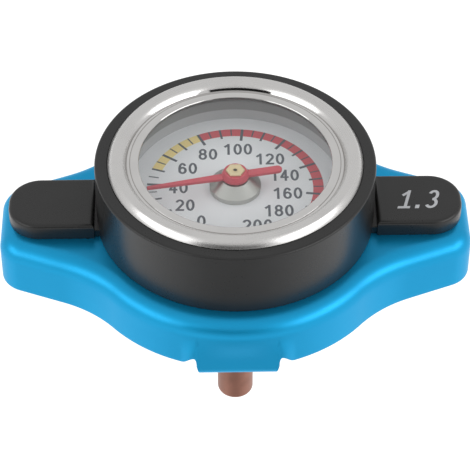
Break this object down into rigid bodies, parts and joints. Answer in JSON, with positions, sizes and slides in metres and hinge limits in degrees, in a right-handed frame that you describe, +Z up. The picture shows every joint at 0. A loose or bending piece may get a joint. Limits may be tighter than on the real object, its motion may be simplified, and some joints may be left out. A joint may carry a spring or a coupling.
{
  "type": "radiator cap thermometer",
  "caption": "Winged radiator pressure cap with a dial thermometer on top, a copper sensing stem below, and a sprung pressure and vacuum valve.",
  "frame": {"origin": "on the cap's axis, in the plane of the neck gasket's underside, where the cap seats on the filler neck's rim", "axes": "+Z up along the cap's axis, out of the dial; +X along the wings"},
  "size_m": [0.0748, 0.0512, 0.0534],
  "materials": {
    "blue_shell": "satin blue anodised",
    "black_housing": "semi-gloss black coat",
    "plain_steel": "plain",
    "bright_steel": "polished",
    "plated_steel": "zinc plated",
    "lens": "clear",
    "pale_gasket": "translucent",
    "dial_white": "matt white print",
    "red_pointer": "satin red",
    "brass": "machined",
    "copper": "drawn copper",
    "bimetal": "rolled",
    "black_rubber": "moulded",
    "spring_steel": "drawn wire"
  },
  "bodies": {
    "cap": {"cap_shell": "blue_shell", "gauge_housing": "black_housing", "gauge_case": "plain_steel", "bezel_ring": "bright_steel", "lens_glass": "lens", "lens_gasket": "pale_gasket", "liner_ring": "plain_steel", "dial_plate": "dial_white", "dial_spacer": "plain_steel", "dial_bush": "bright_steel", "stem_socket": "brass", "stem_tube": "copper", "spindle_guide": "brass", "bimetal_coil": "bimetal", "coil_anchor": "brass", "clamp_nut": "brass", "lock_washer": "plain_steel", "sealing_washer": "black_rubber", "diaphragm_spring": "bright_steel", "neck_gasket": "black_rubber", "valve_bell": "plated_steel", "pressure_spring": "spring_steel"},
    "needle": {"pointer": "red_pointer", "pointer_boss": "brass", "spindle": "plain_steel"},
    "pressure_valve": {"pressure_plate": "plated_steel", "seal_cup": "plated_steel", "pressure_seal": "black_rubber", "valve_sleeve": "brass", "stem_seal": "black_rubber", "gland_washer": "plain_steel", "vacuum_spring": "spring_steel", "spring_retainer": "plated_steel"},
    "vacuum_valve": {"vacuum_disc": "brass"}
  },
  "joints": [
    {"name": "pointer_turn", "type": "hinge", "parent": "cap", "child": "needle", "pos_m": [0, 0, 0.009], "axis": [0, 0, 1], "range_deg": [-259.4, 45.8], "stiffness_Nm_per_rad": 0.0002, "deforming": ["bimetal_coil"]},
    {"name": "pressure_lift", "type": "slide", "parent": "cap", "child": "pressure_valve", "axis": [0, 0, 1], "range_m": [0, 0.003], "stiffness_N_per_m": 7000, "springref_m": -0.009, "deforming": ["pressure_spring"]},
    {"name": "vacuum_drop", "type": "slide", "parent": "pressure_valve", "child": "vacuum_valve", "axis": [0, 0, 1], "range_m": [-0.0015, 0], "stiffness_N_per_m": 150, "springref_m": 0.0035, "deforming": ["vacuum_spring"]}
  ]
}
